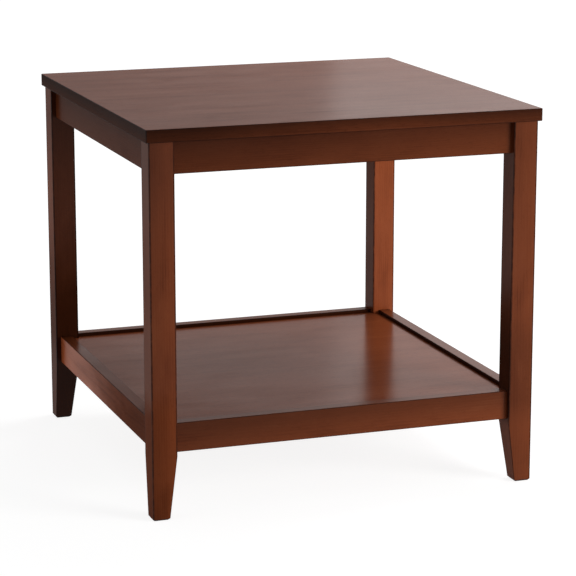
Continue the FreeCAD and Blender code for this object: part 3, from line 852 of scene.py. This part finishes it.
VENEER = {"fibre": 0.42, "pores": 0.6, "ring": 5.0 * MM, "wavy": 4.5}
# The depth paints light on the shelf, and the lacquer fades paint a weaker sheen to the left and
# the front
SHELF_LOOK = {
    **VENEER, "pith": (0, 0.26, -0.20), "figure": 0.095, "mottle": 0.5, "depth": 1.45,
    "coat": 0.35, "coat_rough": 0.20, "under_coat": 0.2, "tucked": (0.262, 0.270),
    "coat_fades": ((X, -0.30, -0.08, 0.76, 1.03), (Y, -0.26, 0.02, 0.94, 1.06)),
}
give(wood("shelf_veneer", SIDEWAYS, **SHELF_LOOK), "shelf_panel")
drive_screws("shelf_screws", 29.0 * MM, 12.0 * MM)


# Top. A veneered panel with solid lippings round its edges, mitred at the corners. The veneer runs
# over the lippings from side to side, under a gloss lacquer, and the lippings are stained darker.
# Screws hold the top from the corner blocks.

TOP_LOOK = {
    **VENEER, "pith": (0, 0.30, -0.85), "figure": 0.135, "mottle": 0.55, "depth": 1.12,
    "coat": 0.315, "coat_rough": 0.24, "side_depth": 0.33, "side_coat": 0.26, "under_coat": 0.5,
    # Painted light towards the lower edge of the lippings, and painted shade towards their upper
    # edge and towards the left and right
    "fades": (
        (Z, 0.554, 0.576, 1.50, 0.70), (X, -0.28, 0.04, 0.58, 1.18),
        (X, 0.08, 0.27, 1.0, 0.76),
    ),
    # Painted sheen: weaker to the left and towards the back
    "coat_fades": ((X, -0.30, 0.10, 0.84, 1.06), (Y, -0.30, 0.28, 1.08, 0.94)),
}
LIPPING_LOOK = {**TOP_LOOK, "veneer": SIDEWAYS}
top_veneer = wood("top_veneer", SIDEWAYS, **TOP_LOOK)
side_lipping = wood("top_side_lipping", FRONT_TO_BACK, **LIPPING_LOOK)
give(top_veneer, "top_core", "top_lipping_front", "top_lipping_back")
give(side_lipping, "top_lipping_left", "top_lipping_right")
drive_screws("top_screws", 49.0 * MM, 16.0 * MM)


# Studio. A pale floor that keeps the table's soft shadow, and a white surround. A large soft lamp
# lights the table from the front right, and isn't seen in the lacquer. Weaker ones stand above it,
# to its left and behind it.

def studio_lamp(name, place, aim, size, power):
    """A soft rectangular lamp that faces a point."""
    lamp = bpy.data.lights.new(name, "AREA")
    lamp.shape = "RECTANGLE"
    lamp.size, lamp.size_y = size
    lamp.energy = power
    holder = bpy.data.objects.new(name, lamp)
    holder.location = place
    holder.rotation_euler = (Vector(aim) - Vector(place)).to_track_quat("-Z", "Y").to_euler()
    bpy.context.scene.collection.objects.link(holder)
    return holder


def background_seen(tree):
    """1 for what sees the background: the camera, a reflection, or a look through something."""
    rays = tree.node("ShaderNodeLightPath").output.node.outputs
    seen = Socket(tree, rays["Is Camera Ray"]) + Socket(tree, rays["Is Glossy Ray"])
    return seen.math("ADD", Socket(tree, rays["Is Transmission Ray"]), clamp=True)


WHITE = colour((1, 1, 1))
FLOOR_HALF = 40.0
FLOOR_LEVEL = -0.2 * MM
FLOOR_LIGHT = colour((0.8, 0.8, 0.8))
FLOOR_SHOWN = colour((0.34, 0.34, 0.34))
SURROUND_LEVEL = 0.25

# The floor is a little dull round the table, and white from further out
DULL_TO_WHITE, DULL_LEVEL = (0.6, 2.2), 0.86

floor_mesh = bpy.data.meshes.new("floor")
corners = [(-1, -1), (1, -1), (1, 1), (-1, 1)]
corners = [(x * FLOOR_HALF, y * FLOOR_HALF, FLOOR_LEVEL) for x, y in corners]
floor_mesh.from_pydata(corners, [], [(0, 1, 2, 3)])
floor = bpy.data.objects.new("floor", floor_mesh)
bpy.context.scene.collection.objects.link(floor)
floor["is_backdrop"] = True

floor_material, tree = new_material("studio_floor")
paper = tree.node("ShaderNodeBsdfDiffuse", (), {"Color": FLOOR_LIGHT})
shown = tree.node("ShaderNodeBsdfDiffuse", (), {"Color": FLOOR_SHOWN})
ground = Socket(tree, tree.node("ShaderNodeTexCoord").output.node.outputs["Object"])
away = tree.node("ShaderNodeVectorMath", {"operation": "LENGTH"}, {0: ground}, output=1)
brightness = tree.step(away, *DULL_TO_WHITE, DULL_LEVEL, 1.0)
glow = tree.node("ShaderNodeEmission", (), {"Color": WHITE, "Strength": brightness})
lit = tree.node("ShaderNodeAddShader", (), {0: shown, 1: glow})
seen = background_seen(tree)
finish_surface(tree, tree.node("ShaderNodeMixShader", (), {0: seen, 1: paper, 2: lit}))
floor_mesh.materials.append(floor_material)

world = bpy.data.worlds.new("studio")
bpy.context.scene.world = world
world.use_nodes = True
world.node_tree.nodes.clear()
tree = Tree(world.node_tree)
level = SURROUND_LEVEL + background_seen(tree) * (1.0 - SURROUND_LEVEL)
surround = tree.node("ShaderNodeBackground", (), {"Color": WHITE, "Strength": level})
tree.node("ShaderNodeOutputWorld", (), {"Surface": surround})

key = studio_lamp("key", (1.7, -1.9, 0.7), (0, 0, 0.3), (1.2, 1.0), 44)
key.visible_glossy = False
studio_lamp("overhead", (0.9, 0.5, 1.6), (0.1, 0, 0.57), (0.9, 0.9), 12)
studio_lamp("left", (-2.2, -0.2, 0.4), (0, 0, 0.3), (1.2, 1.0), 7.5)
studio_lamp("back_right", (1.35, 1.85, 1.05), (0.2, 0, 0.5), (1.1, 0.8), 2.3)

scene = bpy.context.scene
scene.view_settings.view_transform = "Standard"

# The camera looks down 13 degrees, from 19.5 degrees to the left of the front
LOOKS_DOWN = 0.2269
LOOKS_RIGHT = 0.3403
camera = bpy.data.cameras.new("camera")
camera.lens = 149.47
camera.sensor_width = 36.0
camera_holder = bpy.data.objects.new("camera", camera)
camera_holder.location = (-1.21815, -3.47831, 1.11061)
camera_holder.rotation_euler = (math.pi / 2 - LOOKS_DOWN, 0, -LOOKS_RIGHT)
scene.collection.objects.link(camera_holder)
scene.camera = camera_holder


sizes = [[list(corner) for corner in box] for box in (cad_bounds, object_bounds())]
